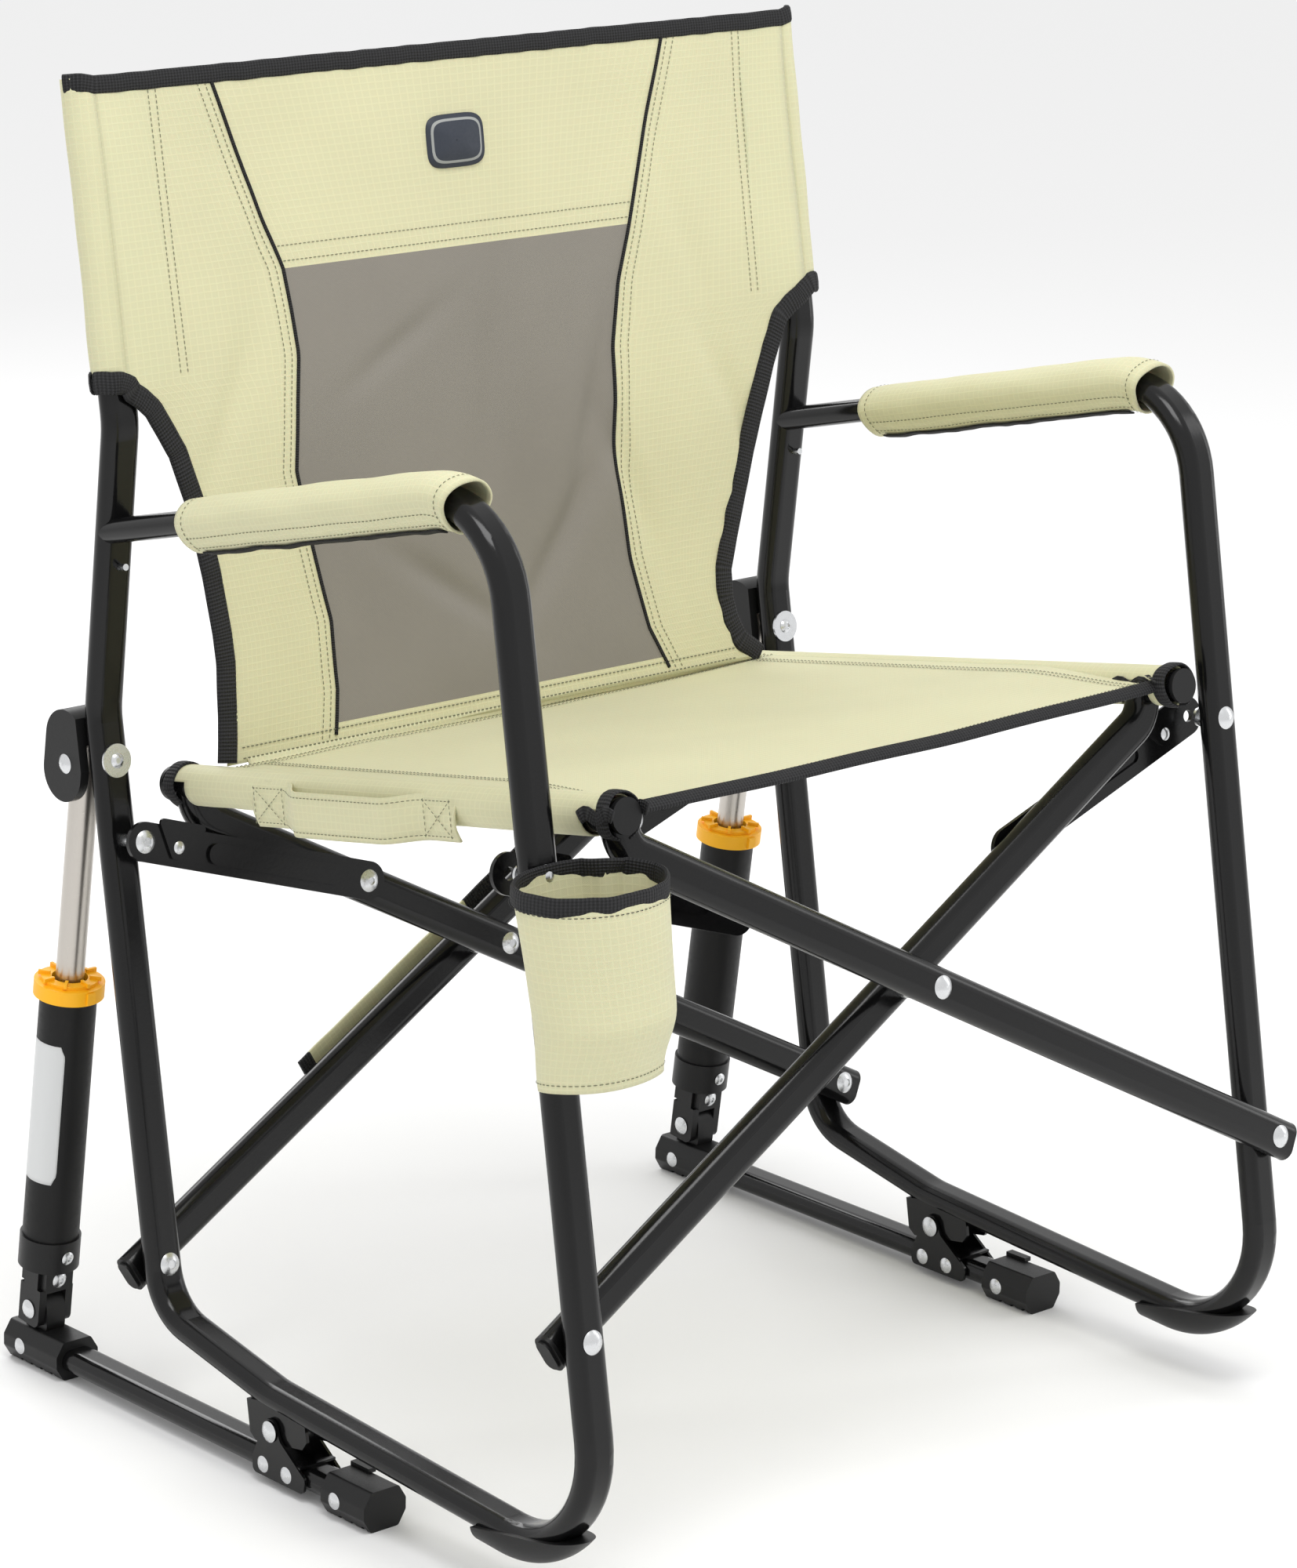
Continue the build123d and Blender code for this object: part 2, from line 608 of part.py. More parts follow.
def build_side(name, side):
    """Everything that repeats on the left (-1) and right (+1) of the chair."""
    x = half_width * side
    save(f"{name}_rail", rail(x))
    save(f"{name}_rear_casting", rear_casting(x))
    save(f"{name}_front_cap", front_cap(x))
    save(f"{name}_rocker_bracket", rocker_bracket(x))
    save(f"{name}_base_rivets", base_rivets(x))
    save_upright(f"{name}_side_frame", side_frame(x))
    save_upright(f"{name}_front_foot", front_foot(x))
    save_upright(f"{name}_rocker_saddle", rocker_saddle(x))
    save_upright(f"{name}_arm_sleeve", arm_sleeve(x))
    save(f"{name}_shock_mount", shock_mount(x))
    top_pin = rivet((x - 17.1, shock_top_y, shock_top_z), (1, 0, 0), 34.2, head_r=6.5, head_h=2.6)
    save(f"{name}_frame_fasteners", [lean(item) for item in frame_fasteners(x)] + [top_pin])
    save(f"{name}_shock_knuckle", place_shock(shock_knuckle(), x))
    save(f"{name}_shock_sleeve", place_shock(shock_sleeve(), x))
    save(f"{name}_shock_cylinder", place_shock(shock_cylinder(), x))
    save(f"{name}_shock_collar", place_shock(shock_collar(), x))
    save(f"{name}_shock_screws", [place_shock(item, x) for item in shock_screws()])
    save(f"{name}_shock_spring", place_shock(shock_spring(), x))
    save(f"{name}_shock_rod", place_shock(shock_rod(), x))
    save_upright(f"front_{name}_link", link_bar(side, True))
    save_upright(f"rear_{name}_link", link_bar(side, False))
    save_upright(f"{name}_lock_plates", [lock_plate(side, True), lock_plate(side, False)])
    save_upright(f"{name}_link_rivets", link_rivets(side))
    save_upright(f"{name}_seat_tube", seat_tube(side))


def build_legs(letter, side):
    """One pair of scissor legs: a rises to the right behind the frames, b to the left in front."""
    front_leg_y = leg_y + front_step * side
    rear_leg_y = post_y + rear_step * side
    save_upright(f"front_leg_{letter}", scissor_leg(front_leg_y, side))
    save_upright(f"rear_leg_{letter}", scissor_leg(rear_leg_y, side))
    caps = [leg_cap(y, side) for y in (front_leg_y, rear_leg_y)]
    caps += [seat_cap(side, front) for front in (True, False)]
    save_upright(f"leg_{letter}_end_caps", caps)
    save_upright(f"leg_{letter}_rivets", leg_rivets(side))


build_side("left", -1)
build_side("right", 1)
build_legs("a", 1)
build_legs("b", -1)
save_upright("cross_spacers", [cross_spacer(leg_y, front_step), cross_spacer(post_y, rear_step)])
save_upright("cup_holder", cup_holder())
save_upright("seat_sling", seat_sling())
save_upright("back_sling", back_sling())
save_upright("carry_handle", carry_handle())
save_upright("leg_strap", leg_strap())
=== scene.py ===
import json
from math import atan2, cos, pi, radians, sin, sqrt

import bmesh
import bpy
import numpy as np
from mathutils import Matrix, Vector, noise


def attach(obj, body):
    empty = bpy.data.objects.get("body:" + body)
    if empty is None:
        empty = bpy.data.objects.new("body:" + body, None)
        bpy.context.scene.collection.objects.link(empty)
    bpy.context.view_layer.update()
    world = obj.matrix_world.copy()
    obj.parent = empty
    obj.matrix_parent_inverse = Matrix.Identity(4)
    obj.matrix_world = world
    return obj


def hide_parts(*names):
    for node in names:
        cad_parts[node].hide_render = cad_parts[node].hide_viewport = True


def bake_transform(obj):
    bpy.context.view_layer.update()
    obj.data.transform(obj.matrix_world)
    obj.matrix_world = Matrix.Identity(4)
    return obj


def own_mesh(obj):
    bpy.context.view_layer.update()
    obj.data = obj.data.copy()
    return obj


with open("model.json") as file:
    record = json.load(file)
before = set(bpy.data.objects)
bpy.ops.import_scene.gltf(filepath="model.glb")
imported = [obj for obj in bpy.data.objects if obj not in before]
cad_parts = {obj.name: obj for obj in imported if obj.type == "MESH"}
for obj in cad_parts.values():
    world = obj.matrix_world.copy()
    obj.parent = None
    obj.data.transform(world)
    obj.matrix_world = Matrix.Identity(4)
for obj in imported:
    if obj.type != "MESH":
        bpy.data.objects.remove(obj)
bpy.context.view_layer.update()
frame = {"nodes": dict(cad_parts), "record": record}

# Upright frame: millimetres about the rocking pivot, before the chair leans back
SHIFT_X = 13.25
SHIFT_Y = 7.43
LEAN = radians(10)
SIDE_X = 297.0
POST_Y = 66.5
SEAT_X = 249.0
SEAT_Z = 402.0
LEG_Y = -300.0


def up(x, y, z):
    """A point of the upright frame as metres in the row frame."""
    ry = 10 + y * cos(LEAN) + z * sin(LEAN)
    rz = 38 - y * sin(LEAN) + z * cos(LEAN)
    return Vector(((x + SHIFT_X) / 1000, (ry + SHIFT_Y) / 1000, rz / 1000))


def smooth(a, b, t):
    """0 below a, 1 above b, smooth between."""
    t = min(1.0, max(0.0, (t - a) / (b - a)))
    return t * t * (3 - 2 * t)


def wobble(x, y, z, scale, seed):
    """Smooth noise from about -1 to 1."""
    return noise.noise(Vector((x / scale + seed, y / scale - seed, z / scale + 2 * seed)))


def table_value(table, z):
    """Straight-line interpolation in a list of (height, value)."""
    return float(np.interp(z, [row[0] for row in table], [row[1] for row in table]))


# Materials ------------------------------------------------------------------


def principled(name, color, rough, metal=0.0, spec=0.5, coat=0.0):
    """A material with its node tree, and the shader."""
    mat = bpy.data.materials.new(name)
    mat.use_nodes = True
    shader = mat.node_tree.nodes["Principled BSDF"]
    shader.inputs["Base Color"].default_value = (*color, 1)
    shader.inputs["Roughness"].default_value = rough
    shader.inputs["Metallic"].default_value = metal
    shader.inputs["Specular IOR Level"].default_value = spec
    shader.inputs["Coat Weight"].default_value = coat
    return mat, shader


def node(mat, kind, **inputs):
    """A new shader node with some of its inputs set."""
    made = mat.node_tree.nodes.new(kind)
    for key, value in inputs.items():
        made.inputs[key].default_value = value
    return made


def link(mat, a, b):
    mat.node_tree.links.new(a, b)


def maths(mat, operation, a, b):
    """The output of a maths node whose two inputs are sockets or numbers."""
    made = mat.node_tree.nodes.new("ShaderNodeMath")
    made.operation = operation
    for socket, value in zip(made.inputs, (a, b)):
        if isinstance(value, (int, float)):
            socket.default_value = value
        else:
            link(mat, value, socket)
    return made.outputs[0]


def woven(name, color, pitch, grid, rough, depth, tint=0.10, sheen=0.0, through=0.0):
    """Plain-weave cloth; grid is the spacing of the thicker rip-stop threads, or 0."""
    mat, shader = principled(name, color, rough, spec=0.25)
    uv = node(mat, "ShaderNodeUVMap")
    split = node(mat, "ShaderNodeSeparateXYZ")
    link(mat, uv.outputs[0], split.inputs[0])
    u, v = split.outputs[0], split.outputs[1]

    def wave(socket, step):
        turned = maths(mat, "MULTIPLY", socket, 2 * pi / step)
        return maths(mat, "SINE", turned, 0.0)

    weave = maths(mat, "MULTIPLY", wave(u, pitch), wave(v, pitch))
    height = weave
    if grid:
        rib_u = maths(mat, "POWER", maths(mat, "ABSOLUTE", wave(u, 2 * grid), 0.0), 24.0)
        rib_v = maths(mat, "POWER", maths(mat, "ABSOLUTE", wave(v, 2 * grid), 0.0), 24.0)
        ribs = maths(mat, "MAXIMUM", rib_u, rib_v)
        height = maths(mat, "ADD", maths(mat, "MULTIPLY", weave, 0.5), ribs)
    cloud = node(mat, "ShaderNodeTexNoise", Scale=9.0, Detail=3.0)
    link(mat, uv.outputs[0], cloud.inputs["Vector"])
    shade = maths(mat, "ADD", maths(mat, "MULTIPLY", height, 0.5), cloud.outputs[0])
    ramp = node(mat, "ShaderNodeMapRange")
    ramp.inputs["From Min"].default_value = 0.0
    ramp.inputs["From Max"].default_value = 1.1
    ramp.inputs["To Min"].default_value = 1 - tint
    ramp.inputs["To Max"].default_value = 1 + tint * 0.6
    link(mat, shade, ramp.inputs["Value"])
    tone = node(mat, "ShaderNodeHueSaturation")
    tone.inputs["Color"].default_value = (*color, 1)
    link(mat, ramp.outputs[0], tone.inputs["Value"])
    link(mat, tone.outputs[0], shader.inputs["Base Color"])
    bump = node(mat, "ShaderNodeBump", Strength=0.35, Distance=depth)
    link(mat, height, bump.inputs["Height"])
    link(mat, bump.outputs[0], shader.inputs["Normal"])
    shader.inputs["Sheen Weight"].default_value = sheen
    if through:
        shader.inputs["Subsurface Weight"].default_value = through
        shader.inputs["Subsurface Scale"].default_value = 0.002
    return mat


def ribbed(name, color, pitch):
    """Webbing tape with cross ribs."""
    mat, shader = principled(name, color, 0.72, spec=0.3)
    uv = node(mat, "ShaderNodeUVMap")
    split = node(mat, "ShaderNodeSeparateXYZ")
    link(mat, uv.outputs[0], split.inputs[0])
    across = maths(mat, "SINE", maths(mat, "MULTIPLY", split.outputs[1], 2 * pi / pitch), 0.0)
    along = maths(mat, "SINE", maths(mat, "MULTIPLY", split.outputs[0], 2 * pi / (pitch * 0.8)), 0.0)
    height = maths(mat, "ADD", across, maths(mat, "MULTIPLY", along, 0.5))
    bump = node(mat, "ShaderNodeBump", Strength=0.8, Distance=0.0005)
    link(mat, height, bump.inputs["Height"])
    link(mat, bump.outputs[0], shader.inputs["Normal"])
    ramp = node(mat, "ShaderNodeMapRange")
    ramp.inputs["From Min"].default_value = -1.5
    ramp.inputs["From Max"].default_value = 1.5
    ramp.inputs["To Min"].default_value = 0.5
    ramp.inputs["To Max"].default_value = 1.9
    link(mat, height, ramp.inputs["Value"])
    tone = node(mat, "ShaderNodeHueSaturation")
    tone.inputs["Color"].default_value = (*color, 1)
    link(mat, ramp.outputs[0], tone.inputs["Value"])
    link(mat, tone.outputs[0], shader.inputs["Base Color"])
    return mat


def grained(name, color, rough, scale, depth, metal=0.0, spec=0.5, coat=0.0, stretch=(1, 1, 1)):
    """A hard material with a fine uneven surface."""
    mat, shader = principled(name, color, rough, metal, spec, coat)
    place = node(mat, "ShaderNodeTexCoord")
    mapping = node(mat, "ShaderNodeMapping", Scale=stretch)
    link(mat, place.outputs["Object"], mapping.inputs[0])
    cloud = node(mat, "ShaderNodeTexNoise", Scale=scale, Detail=4.0)
    link(mat, mapping.outputs[0], cloud.inputs["Vector"])
    bump = node(mat, "ShaderNodeBump", Strength=0.3, Distance=depth)
    link(mat, cloud.outputs[0], bump.inputs["Height"])
    link(mat, bump.outputs[0], shader.inputs["Normal"])
    ramp = node(mat, "ShaderNodeMapRange")
    ramp.inputs["To Min"].default_value = rough * 0.75
    ramp.inputs["To Max"].default_value = rough * 1.3
    link(mat, cloud.outputs[0], ramp.inputs["Value"])
    link(mat, ramp.outputs[0], shader.inputs["Roughness"])
    return mat


cloth_mat = woven("ripstop", (0.62, 0.603, 0.386), 0.0011, 0.0047, 0.62, 0.00025, 0.09, 0.1, 0.06)
mesh_mat = woven("grey_panel", (0.246, 0.228, 0.198), 0.0012, 0.0, 0.7, 0.0002, 0.12)
webbing_mat = ribbed("webbing", (0.016, 0.016, 0.017), 0.0024)
piping_mat = ribbed("piping", (0.014, 0.014, 0.015), 0.0016)
thread_mat, _ = principled("thread", (0.15, 0.155, 0.095), 0.8)
dark_thread_mat, _ = principled("dark_thread", (0.02, 0.02, 0.02), 0.8)
hook_mat = ribbed("hook_tape", (0.012, 0.012, 0.013), 0.0012)
badge_mat = grained("badge_rubber", (0.02, 0.026, 0.04), 0.55, 500, 0.0002)
badge_light_mat, _ = principled("badge_light", (0.30, 0.31, 0.30), 0.6)
label_mat, _ = principled("label", (0.62, 0.63, 0.63), 0.45)
hard = {
    "black_powder_coat": grained("powder_coat", (0.004, 0.004, 0.0042), 0.17, 420, 0.00010, spec=0.32),
    "black_plastic": grained("plastic", (0.007, 0.007, 0.0072), 0.38, 900, 0.0001, spec=0.28),
    "black_cylinder": grained("cylinder_paint", (0.006, 0.006, 0.0061), 0.46, 300, 0.0001, spec=0.24),
    "orange_plastic": grained("orange_collar", (0.97, 0.47, 0.006), 0.45, 500, 0.0001, spec=0.4),
    "nickel_rod": grained("nickel", (0.52, 0.49, 0.45), 0.30, 160, 0.0001, metal=1.0, stretch=(1, 1, 14)),
    "zinc_hardware": grained("zinc", (0.66, 0.67, 0.68), 0.27, 300, 0.0001, metal=1.0),
    "black_webbing": webbing_mat,
    "ripstop_fabric": cloth_mat,
}
for entry in frame["record"]["subparts"]:
    part = frame["nodes"][entry["node"]]
    part.data.materials.clear()
    part.data.materials.append(hard[entry["material_slot"]])


# Cloth builders ---------------------------------------------------------------


class Weft:
    """Collects grids, tapes and stitches into one mesh with metre-scale texture coordinates."""

    def __init__(self):
        self.verts = []
        self.faces = []
        self.uvs = []
        self.mats = []

    def grid(self, rows, mat=0, closed=False, keep=None, pick=None):
        """Quads over rows of points. keep(i, j) says which quads exist, pick(i, j) their material."""
        base = len(self.verts)
        wide = len(rows[0])
        lengths_v = [0.0]
        mid = wide // 2
        for a, b in zip(rows, rows[1:]):
            lengths_v.append(lengths_v[-1] + (b[mid] - a[mid]).length)
        centre = rows[len(rows) // 2]
        lengths_u = [0.0]
        for a, b in zip(centre, centre[1:]):
            lengths_u.append(lengths_u[-1] + (b - a).length)
        lengths_u.append(lengths_u[-1] + (centre[0] - centre[-1]).length)
        for row in rows:
            self.verts += [tuple(p) for p in row]
        across = wide if closed else wide - 1
        for i in range(len(rows) - 1):
            for j in range(across):
                if keep and not keep(i, j):
                    continue
                k = (j + 1) % wide
                a = base + i * wide
                b = base + (i + 1) * wide
                self.faces.append((a + j, a + k, b + k, b + j))
                u0, u1 = lengths_u[j], lengths_u[j + 1]
                v0, v1 = lengths_v[i], lengths_v[i + 1]
                self.uvs += [(u0, v0), (u1, v0), (u1, v1), (u0, v1)]
                self.mats.append(pick(i, j) if pick else mat)

    def build(self, name, mats, thick=0.0, offset=0.0, subdivide=0):
        """The finished object, smooth shaded."""
        mesh = bpy.data.meshes.new(name)
        mesh.from_pydata(self.verts, [], self.faces)
        layer = mesh.uv_layers.new(name="UVMap")
        for loop, uv in zip(layer.data, self.uvs):
            loop.uv = uv
        for mat in mats:
            mesh.materials.append(mat)
        for face, index in zip(mesh.polygons, self.mats):
            face.material_index = index
            face.use_smooth = True
        obj = bpy.data.objects.new(name, mesh)
        bpy.context.collection.objects.link(obj)
        bm = bmesh.new()
        bm.from_mesh(mesh)
        bmesh.ops.remove_doubles(bm, verts=bm.verts, dist=1e-6)
        bmesh.ops.recalc_face_normals(bm, faces=bm.faces)
        bm.to_mesh(mesh)
        bm.free()
        if thick:
            solid = obj.modifiers.new("thickness", "SOLIDIFY")
            solid.thickness = thick / 1000
            solid.offset = offset
        if subdivide:
            obj.modifiers.new("soften", "SUBSURF").levels = subdivide
        return obj


def resample(points, step):
    """Points every step metres along a line of points."""
    lengths = [0.0]
    for a, b in zip(points, points[1:]):
        lengths.append(lengths[-1] + (b - a).length)
    count = max(2, int(round(lengths[-1] / step)) + 1)
    wanted = np.linspace(0, lengths[-1], count)
    return [Vector([float(np.interp(s, lengths, [p[k] for p in points])) for k in range(3)]) for s in wanted]


def ribbon_frames(points, normal):
    """For each point its direction, its sideways direction and its outward direction."""
    frames = []
    for k, p in enumerate(points):
        ahead = (points[min(k + 1, len(points) - 1)] - points[max(k - 1, 0)]).normalized()
        out = normal(p) if callable(normal) else Vector(normal)
        side = ahead.cross(out).normalized()
        frames.append((p, ahead, side, side.cross(ahead).normalized()))
    return frames


def tape(weft, points, normal, width, thick, wave=0.0, seed=0.0, step=0.003, mat=0):
    """Flat tape of a rounded section along a line; wave puckers it."""
    rows = []
    for p, ahead, side, out in ribbon_frames(resample(points, step), normal):
        lift = wave * noise.noise(p * 70 + Vector((seed, 0, 0))) / 1000
        ring = []
        for k in range(12):
            a = 2 * pi * k / 12
            sx = abs(cos(a)) ** 0.5 * (1 if cos(a) > 0 else -1)
            ring.append(p + side * (sx * width / 2000 + lift * 0.8) + out * (sin(a) * thick / 2000 + lift))
        rows.append(ring)
    weft.grid(rows, mat, closed=True)
    for end in (rows[0], rows[-1]):
        base = len(weft.verts)
        weft.verts += [tuple(p) for p in end]
        weft.faces.append(tuple(range(base, base + 12)))
        weft.uvs += [(0.0, 0.0)] * 12
        weft.mats.append(mat)


# Corners of one thread: along, sideways and up, as shares of half its length and of its thickness
STITCH = (
    (-1, 0, 0.0), (-0.6, 1, 0.5), (-0.6, -1, 0.5), (0.6, 1, 0.5), (0.6, -1, 0.5), (1, 0, 0.0), (0, 0, 1.1),
)


def stitches(weft, points, normal, pitch=3.6, length=2.7, thick=0.55, mat=0):
    """A row of short raised threads along a line."""
    fine = resample(points, pitch / 1000)
    for p, ahead, side, out in ribbon_frames(fine, normal):
        base = len(weft.verts)
        for s, w, h in STITCH:
            q = p + ahead * (s * length / 2000) + side * (w * thick / 2000) + out * (h * thick / 1000)
            weft.verts.append(tuple(q))
        for face in ((0, 1, 2), (1, 6, 2), (1, 3, 6), (2, 6, 4), (3, 4, 6), (3, 5, 4)):
            weft.faces.append(tuple(base + k for k in face))
            weft.uvs += [(0.0, 0.0)] * 3
            weft.mats.append(mat)


# Back sling ---------------------------------------------------------------------

TOP_Z = 862.0
LOW_Z = 414.0
SLEEVE_Z = 668.0
# Half widths of the back by height, left (-1) and right (1): its bound edges, then its piping
EDGES = {
    -1: [
        (LOW_Z, 242), (440, 238), (488, 234), (540, 241), (587, 250),
        (620, 261), (650, 278), (660, 290), (SLEEVE_Z, 308),
    ],
    1: [
        (LOW_Z, 232), (430, 212), (450, 203), (475, 201), (535, 222),
        (590, 242), (625, 256), (650, 270), (660, 284), (SLEEVE_Z, 308),
    ],
}
PIPES = {
    -1: [
        (LOW_Z, 153), (450, 145), (495, 144), (550, 157), (596, 166), (640, 160),
        (671, 155), (700, 157), (728, 160), (790, 183), (TOP_Z, 208),
    ],
    1: [
        (LOW_Z, 147), (450, 129), (500, 118), (560, 113), (600, 114),
        (646, 118), (690, 128), (724, 141), (790, 163), (TOP_Z, 188),
    ],
}
HEM_Z = 727.0
LOW_HEM = 12.0
FRONT_Y = POST_Y - 8 - 2.2
# Drawn-in folds: centre x and z, angle, length, width and depth
DRAGS = (
    (60, 520, 0.9, 70, 10, 3.2),
    (95, 600, 1.25, 80, 12, 3.6),
    (-70, 668, 0.5, 45, 8, 2.0),
    (10, 640, 1.35, 100, 16, 2.2),
    (-40, 500, -0.6, 55, 9, 2.8),
    (120, 560, -1.2, 50, 10, 2.6),
    (-215, 640, 1.1, 60, 9, 2.0),
    (215, 610, -1.1, 60, 9, 2.2),
    (-190, 700, 1.3, 80, 9, 1.4),
    (195, 700, -1.3, 80, 9, 1.4),
)


def back_y(x, z):
    """The front surface of the back cloth."""
    base = FRONT_Y + 9.0 * (1 - smooth(LOW_Z, 640, z))
    hollow = 5.0 * (1 - (x / 300) ** 2) * smooth(LOW_Z, 520, z) * (1 - 0.5 * smooth(700, TOP_Z, z))
    folds = 3.8 * wobble(x, 0, z * 0.45, 85, 3.1) * smooth(0, 60, TOP_Z - z) * smooth(0, 50, z - LOW_Z)
    drag = 0.0
    for cx, cz, tilt, long, wide, deep in DRAGS:
        dx, dz = x - cx, z - cz
        along = dx * cos(tilt) + dz * sin(tilt)
        across = -dx * sin(tilt) + dz * cos(tilt)
        drag += 1.6 * deep * np.exp(-((along / long) ** 2) - (across / wide) ** 2)
    return base + hollow + folds + drag * smooth(0, 30, SIDE_X - abs(x))


def back_point(x, z, out=0.0):
    return up(x, back_y(x, z) - out, z)


def back_normal(p):
    return Vector((0, -cos(LEAN), sin(LEAN)))


back = Weft()
heights = list(np.linspace(LOW_Z, SLEEVE_Z, 76)) + list(np.linspace(SLEEVE_Z, TOP_Z, 60))[1:]
rows = []
for z in heights:
    marks = []
    for side in (-1, 1):
        edge = min(table_value(EDGES[side], z), SIDE_X) if z < SLEEVE_Z else SIDE_X
        marks += [side * edge, side * table_value(PIPES[side], z)]
    xs = list(np.linspace(marks[0], marks[1], 22))
    xs += list(np.linspace(marks[1], marks[3], 61))[1:]
    xs += list(np.linspace(marks[3], marks[2], 22))[1:]
    rows.append([back_point(x, z) for x in xs])


def back_material(i, j):
    """The grey panel between the pipings, framed by the hems; cloth elsewhere."""
    return 1 if 21 <= j < 81 and LOW_Z + LOW_HEM < heights[i] < HEM_Z - 1 else 0


back.grid(rows, pick=back_material)


def sleeve_ring(side, z):
    """The cloth round a post at one height, from the front sheet round the outside to the seam behind."""
    ring = []
    slack = 1.2 * wobble(side * 40, z, 0, 45, 5.0 + side)
    for k in range(13):
        a = -pi / 2 + pi * k / 12
        x = SIDE_X * side + side * (5 + (10.6 + slack) * cos(a))
        ring.append(up(x, POST_Y + (10.2 + 0.5 * slack) * sin(a), z))
    for k in range(1, 9):
        t = k / 8
        ring.append(up(side * (SIDE_X + 5 - 47 * t), POST_Y + 10.2 - (8 + 10.4) * smooth(0.15, 1, t), z))
    return ring


for side in (-1, 1):
    sleeve_rows = [sleeve_ring(side, z) for z in np.linspace(SLEEVE_Z, TOP_Z, 50)]
    for row, z in zip(sleeve_rows, np.linspace(SLEEVE_Z, TOP_Z, 50)):
        row.insert(0, back_point(side * SIDE_X, z))
    back.grid(sleeve_rows)
back_obj = back.build("back_cloth", [cloth_mat, mesh_mat], 0.9)

trim = Weft()
pipe_heights = np.linspace(LOW_Z + 6, TOP_Z - 8, 90)
seam_heights = np.linspace(SLEEVE_Z + 3, TOP_Z - 2, 30)
for side in (-1, 1):
    line = [back_point(side * table_value(PIPES[side], z), z, 0.6) for z in pipe_heights]
    tape(trim, line, back_normal, 2.6, 2.2, mat=1)
    for gap in (5.5, 11.5):
        row = [back_point(side * (table_value(PIPES[side], z) + gap), z, 0.6) for z in pipe_heights]
        stitches(trim, row, back_normal, mat=2)
    for gap in (250, 256):
        row = [back_point(side * (gap - 4 * (TOP_Z - z) / 190), z, 0.6) for z in seam_heights]
        stitches(trim, row, back_normal, mat=2)
    arm = []
    for k in range(9):
        a = -pi / 2 + pi * (8 - k) / 8
        arm.append(up(SIDE_X * side + side * (5 + 11.4 * cos(a)), POST_Y + 11.0 * sin(a), SLEEVE_Z + 2))
    for z in (666, 662, 657, 650, 635, 620, 604, 587, 560, 540, 520, 500, 480, 460, 445, 430, 416):
        x = min(table_value(EDGES[side], z), SIDE_X - 2)
        arm.append(back_point(side * x, z, 0.0))
    tape(trim, arm, back_normal, 15, 5.0, wave=1.8, seed=side, mat=0)
    inner = [p + (Vector((-side, 0, 0)) * 0.006) for p in arm[9:]]
    stitches(trim, [p + back_normal(p) * 0.002 for p in inner], back_normal, mat=3)
top_line = [up(-SIDE_X - 16, POST_Y, TOP_Z - 3), up(-SIDE_X - 10, POST_Y - 9, TOP_Z - 3)]
top_line += [back_point(x, TOP_Z - 5.5) for x in np.linspace(-SIDE_X, SIDE_X, 60)]
top_line += [up(SIDE_X + 10, POST_Y - 9, TOP_Z - 3), up(SIDE_X + 16, POST_Y, TOP_Z - 3)]
tape(trim, top_line, back_normal, 12, 4.2, wave=0.5, mat=0)
below_top = [p + back_normal(p) * 0.0022 - Vector((0, 0, 0.004)) for p in top_line[2:-2]]
stitches(trim, below_top, back_normal, mat=3)
for z in (LOW_Z + 3, LOW_Z + LOW_HEM - 2):
    stitches(trim, [back_point(x, z, 0.7) for x in np.linspace(-228, 205, 90)], back_normal, thick=0.8, mat=2)
for z in (HEM_Z + 5, HEM_Z + 15):
    xs = np.linspace(-table_value(PIPES[-1], z), table_value(PIPES[1], z), 60)
    stitches(trim, [back_point(x, z, 0.6) for x in xs], back_normal, mat=2)
trim_obj = trim.build("back_trim", [webbing_mat, piping_mat, thread_mat, dark_thread_mat])

# A plain rounded patch with a raised border and no marks on it
BADGE_X = -6
BADGE_Z = 797
badge = Weft()


def badge_ring(half_x, half_z, out_low, out_high, mat):
    """A low rounded-square block standing on the back cloth."""
    points = []
    for a in np.linspace(0, 2 * pi, 49)[:-1]:
        px = abs(cos(a)) ** 0.45 * (1 if cos(a) > 0 else -1)
        pz = abs(sin(a)) ** 0.45 * (1 if sin(a) > 0 else -1)
        points.append((half_x * px, half_z * pz))
    rings = []
    for k, out in ((1, out_low), (0.96, out_high), (0.02, out_high)):
        rings.append([back_point(BADGE_X + x * k, BADGE_Z + z * k, out) for x, z in points])
    badge.grid(rings, mat, closed=True)


badge_ring(25, 18, 0.2, 2.2, 0)
badge_ring(22, 15, 2.0, 2.8, 1)
badge_ring(20.5, 13.5, 2.4, 3.0, 0)
badge_obj = badge.build("back_badge", [badge_mat, badge_light_mat])

# Seat sling -----------------------------------------------------------------------

SLEEVE_R = 12.6
SEAT_TOP = SEAT_Z + SLEEVE_R


def seat_front(x):
    return -310 + 8 * x / SEAT_X


def seat_rear(x):
    return 68 + 9 * x / SEAT_X


def seat_z(x, y):
    """The top surface of the seat cloth."""
    t = (y + 310) / 380
    flat = 1 - (x / SEAT_X) ** 2
    sag = 5.0 * flat * (0.5 + 0.5 * sin(pi * min(1, max(0, t))))
    folds = 1.3 * wobble(x, y, 0, 110, 7.7) * flat * 1.4
    pull = 2.2 * flat * np.exp(-(((y - 40 + 0.14 * x) / 22) ** 2)) * wobble(x, 0, 0, 70, 1.2)
    return SEAT_TOP - seat_drop(y) - sag + folds + pull


def seat_drop(y):
    """How far below the tube's crown the cloth leaves it; most at the bound front edge."""
    return 1.5 + 8.5 * (1 - smooth(-315, -190, y))


def seat_edge(y):
    """Half the width of the flat cloth, where it meets the round of the tube."""
    d = seat_drop(y)
    return SEAT_X - sqrt(SLEEVE_R**2 - (SLEEVE_R - d) ** 2)


def seat_point(x, y, out=0.0):
    return up(x, y, seat_z(x, y) + out)


